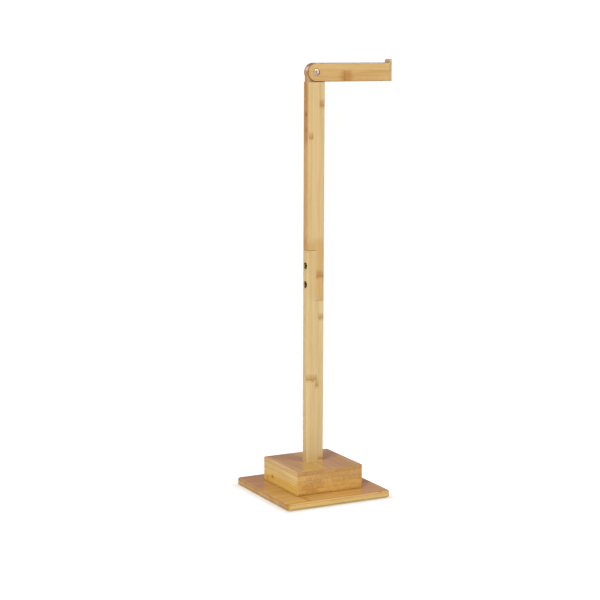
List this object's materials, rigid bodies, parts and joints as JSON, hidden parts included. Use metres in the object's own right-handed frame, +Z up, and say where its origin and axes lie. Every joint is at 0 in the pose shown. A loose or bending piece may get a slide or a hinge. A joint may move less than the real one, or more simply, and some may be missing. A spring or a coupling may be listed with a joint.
{
  "type": "toilet paper stand",
  "caption": "Free-standing toilet paper stand: square base with a raised block, an upright pole for spare rolls and a folding arm for the roll in use.",
  "frame": {"origin": "on the floor, under the middle of the base plate and on the pole's axis", "axes": "+Z up along the pole, +X along the arm towards its tip, and -Y towards the front, the side that shows the pivot bolt's head"},
  "size_m": [0.235, 0.19, 0.715],
  "materials": {
    "bamboo_board": "clear satin lacquer over laminated bamboo",
    "bamboo_pole": "clear satin lacquer over laminated bamboo strips",
    "nickel_steel": "nickel-plated",
    "zinc_steel": "zinc-plated",
    "brass_insert": "turned",
    "nylon": "natural",
    "pad_rubber": "matt"
  },
  "bodies": {
    "stand": {"base_plate": "bamboo_board", "block_lower_board": "bamboo_board", "block_upper_board": "bamboo_board", "lower_pole": "bamboo_pole", "upper_pole": "bamboo_pole", "lap_bolts": "nickel_steel", "lap_sleeve_nuts": "nickel_steel", "foot_bolts": "zinc_steel", "foot_bolt_washers": "zinc_steel", "foot_inserts": "brass_insert", "block_screws": "zinc_steel", "foot_pad_1": "pad_rubber", "foot_pad_2": "pad_rubber", "foot_pad_3": "pad_rubber", "foot_pad_4": "pad_rubber"},
    "folding_arm": {"arm": "bamboo_pole", "arm_end_stop": "bamboo_pole", "pivot_bolt": "nickel_steel", "pivot_sleeve_nut": "nickel_steel", "hinge_washer_front": "nylon", "hinge_washer_rear": "nylon"}
  },
  "joints": [
    {"name": "arm_fold", "type": "hinge", "parent": "stand", "child": "folding_arm", "pos_m": [0, 0, 0.6942], "axis": [0, -1, 0], "range_deg": [0, 180]}
  ]
}
